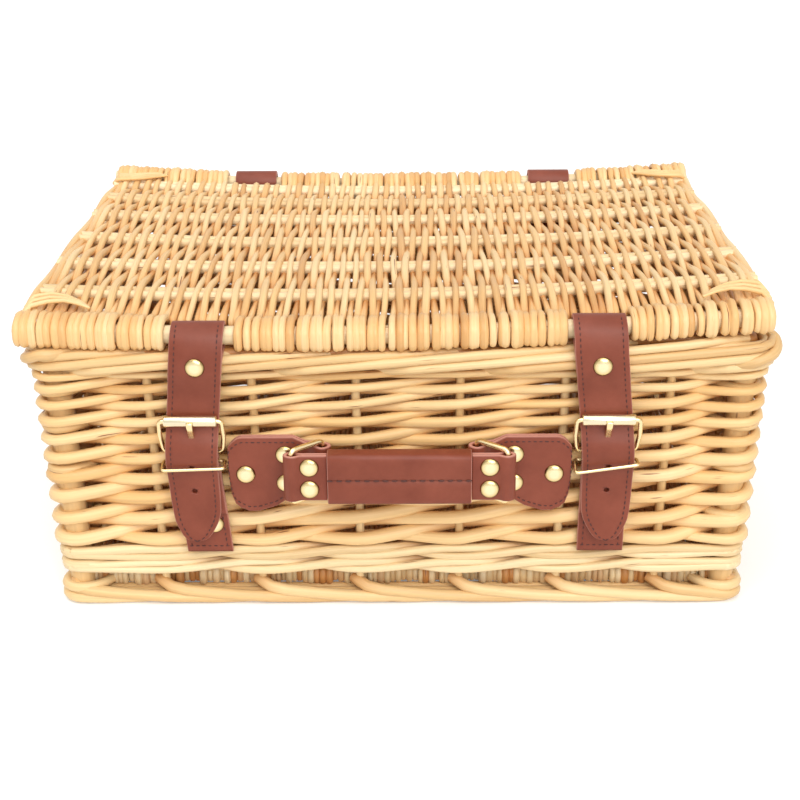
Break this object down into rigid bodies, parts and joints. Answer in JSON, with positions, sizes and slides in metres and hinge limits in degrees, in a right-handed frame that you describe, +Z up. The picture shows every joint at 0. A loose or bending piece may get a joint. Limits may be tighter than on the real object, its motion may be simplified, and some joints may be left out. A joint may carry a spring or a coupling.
{
  "type": "hamper basket",
  "caption": "Lidded rectangular willow hamper with woven walls, a rolled rim, leather hinge loops, buckled lid straps and a front carrying handle on wire rings.",
  "frame": {"origin": "centre of the bounding box, at the underside of the foot border", "axes": "+X to the right along the length, -Y to the front with the handle, +Z up"},
  "size_m": [0.41, 0.3292, 0.1862],
  "materials": {
    "willow_brown": "steamed willow, satin, uneven brown",
    "willow_pale": "peeled willow, satin, pale cream",
    "leather_brown": "vegetable-tanned reddish brown leather, low sheen",
    "brass_aged": "softly polished antique brass"
  },
  "bodies": {
    "basket": {"foot_border": "willow_brown", "rim_border": "willow_brown", "corner_post_front_left": "willow_brown", "corner_post_front_right": "willow_brown", "corner_post_back_left": "willow_brown", "corner_post_back_right": "willow_brown", "wall_front": "willow_brown", "wall_back": "willow_brown", "wall_left": "willow_brown", "wall_right": "willow_brown", "base_mat": "willow_pale", "wale_front": "willow_pale", "wale_back": "willow_pale", "wale_left": "willow_pale", "wale_right": "willow_pale", "buckle_strap_left": "leather_brown", "handle_anchor_left": "leather_brown", "hinge_loop_left": "leather_brown", "buckle_strap_rivet_left": "brass_aged", "handle_anchor_rivet_outer_left": "brass_aged", "handle_anchor_rivet_upper_left": "brass_aged", "handle_anchor_rivet_lower_left": "brass_aged", "buckle_strap_right": "leather_brown", "handle_anchor_right": "leather_brown", "hinge_loop_right": "leather_brown", "buckle_strap_rivet_right": "brass_aged", "handle_anchor_rivet_outer_right": "brass_aged", "handle_anchor_rivet_upper_right": "brass_aged", "handle_anchor_rivet_lower_right": "brass_aged"},
    "lid": {"lid_mat": "willow_brown", "lid_rod_front": "willow_pale", "lid_rod_back": "willow_pale", "lid_sticks_1": "willow_pale", "lid_sticks_2": "willow_pale", "lid_sticks_3": "willow_pale", "lid_sticks_4": "willow_pale", "lid_sticks_5": "willow_pale", "lid_sticks_6": "willow_pale"},
    "handle": {"handle_grip": "leather_brown"},
    "strap_left": {"lid_strap_left": "leather_brown", "lid_strap_rivet_left": "brass_aged"},
    "buckle_left": {"buckle_frame_left": "brass_aged"},
    "prong_left": {"buckle_prong_left": "brass_aged"},
    "roller_left": {"buckle_roller_left": "brass_aged"},
    "keeper_left": {"strap_keeper_left": "brass_aged"},
    "handle_end_left": {"handle_tab_left": "leather_brown", "handle_rivet_upper_left": "brass_aged", "handle_rivet_lower_left": "brass_aged"},
    "ring_left": {"handle_ring_left": "brass_aged"},
    "strap_right": {"lid_strap_right": "leather_brown", "lid_strap_rivet_right": "brass_aged"},
    "buckle_right": {"buckle_frame_right": "brass_aged"},
    "prong_right": {"buckle_prong_right": "brass_aged"},
    "roller_right": {"buckle_roller_right": "brass_aged"},
    "keeper_right": {"strap_keeper_right": "brass_aged"},
    "handle_end_right": {"handle_tab_right": "leather_brown", "handle_rivet_upper_right": "brass_aged", "handle_rivet_lower_right": "brass_aged"},
    "ring_right": {"handle_ring_right": "brass_aged"}
  },
  "joints": [
    {"name": "lid_hinge", "type": "hinge", "parent": "basket", "child": "lid", "pos_m": [0, 0.15285, 0.1762], "axis": [-1, 0, 0], "range_deg": [0, 180]},
    {"name": "handle_pull", "type": "slide", "parent": "basket", "child": "handle", "axis": [0, -1, 0], "range_m": [0, 0.014]},
    {"name": "strap_left_swing", "type": "hinge", "parent": "lid", "child": "strap_left", "pos_m": [-0.1145, -0.13315, 0.1762], "axis": [-1, 0, 0], "range_deg": [0, 120], "deforming": ["lid_strap_left"]},
    {"name": "buckle_left_swing", "type": "hinge", "parent": "basket", "child": "buckle_left", "pos_m": [-0.1145, -0.14395, 0.1025], "axis": [1, 0, 0], "range_deg": [0, 50]},
    {"name": "prong_left_lift", "type": "hinge", "parent": "buckle_left", "child": "prong_left", "pos_m": [-0.1145, -0.14395, 0.1025], "axis": [1, 0, 0], "range_deg": [0, 40]},
    {"name": "roller_left_spin", "type": "hinge", "parent": "buckle_left", "child": "roller_left", "pos_m": [-0.1145, -0.14935, 0.1225], "axis": [1, 0, 0], "continuous": true},
    {"name": "keeper_left_lift", "type": "hinge", "parent": "basket", "child": "keeper_left", "pos_m": [-0.1145, -0.14235, 0.0955], "axis": [-1, 0, 0], "range_deg": [-20, 12]},
    {"name": "handle_end_left_fold", "type": "hinge", "parent": "handle", "child": "handle_end_left", "pos_m": [-0.0445, -0.15855, 0.093], "axis": [0, 0, -1], "range_deg": [0, 45]},
    {"name": "ring_left_turn", "type": "hinge", "parent": "handle_end_left", "child": "ring_left", "pos_m": [-0.0592, -0.15855, 0.093], "axis": [0, 0, 1], "range_deg": [0, 59]},
    {"name": "strap_right_swing", "type": "hinge", "parent": "lid", "child": "strap_right", "pos_m": [0.1145, -0.13315, 0.1762], "axis": [-1, 0, 0], "range_deg": [0, 120], "deforming": ["lid_strap_right"]},
    {"name": "buckle_right_swing", "type": "hinge", "parent": "basket", "child": "buckle_right", "pos_m": [0.1145, -0.14395, 0.1025], "axis": [1, 0, 0], "range_deg": [0, 50]},
    {"name": "prong_right_lift", "type": "hinge", "parent": "buckle_right", "child": "prong_right", "pos_m": [0.1145, -0.14395, 0.1025], "axis": [1, 0, 0], "range_deg": [0, 40]},
    {"name": "roller_right_spin", "type": "hinge", "parent": "buckle_right", "child": "roller_right", "pos_m": [0.1145, -0.14935, 0.1225], "axis": [1, 0, 0], "continuous": true},
    {"name": "keeper_right_lift", "type": "hinge", "parent": "basket", "child": "keeper_right", "pos_m": [0.1145, -0.14235, 0.0955], "axis": [-1, 0, 0], "range_deg": [-20, 12]},
    {"name": "handle_end_right_fold", "type": "hinge", "parent": "handle", "child": "handle_end_right", "pos_m": [0.0445, -0.15855, 0.093], "axis": [0, 0, 1], "range_deg": [0, 45]},
    {"name": "ring_right_turn", "type": "hinge", "parent": "handle_end_right", "child": "ring_right", "pos_m": [0.0592, -0.15855, 0.093], "axis": [0, 0, -1], "range_deg": [0, 59]}
  ],
  "couplings": [
    {"joint": "handle_end_left_fold", "follows": "handle_pull", "rad_per_m": 55},
    {"joint": "ring_left_turn", "follows": "handle_pull", "rad_per_m": 72.4},
    {"joint": "handle_end_right_fold", "follows": "handle_pull", "rad_per_m": 55},
    {"joint": "ring_right_turn", "follows": "handle_pull", "rad_per_m": 72.4}
  ]
}
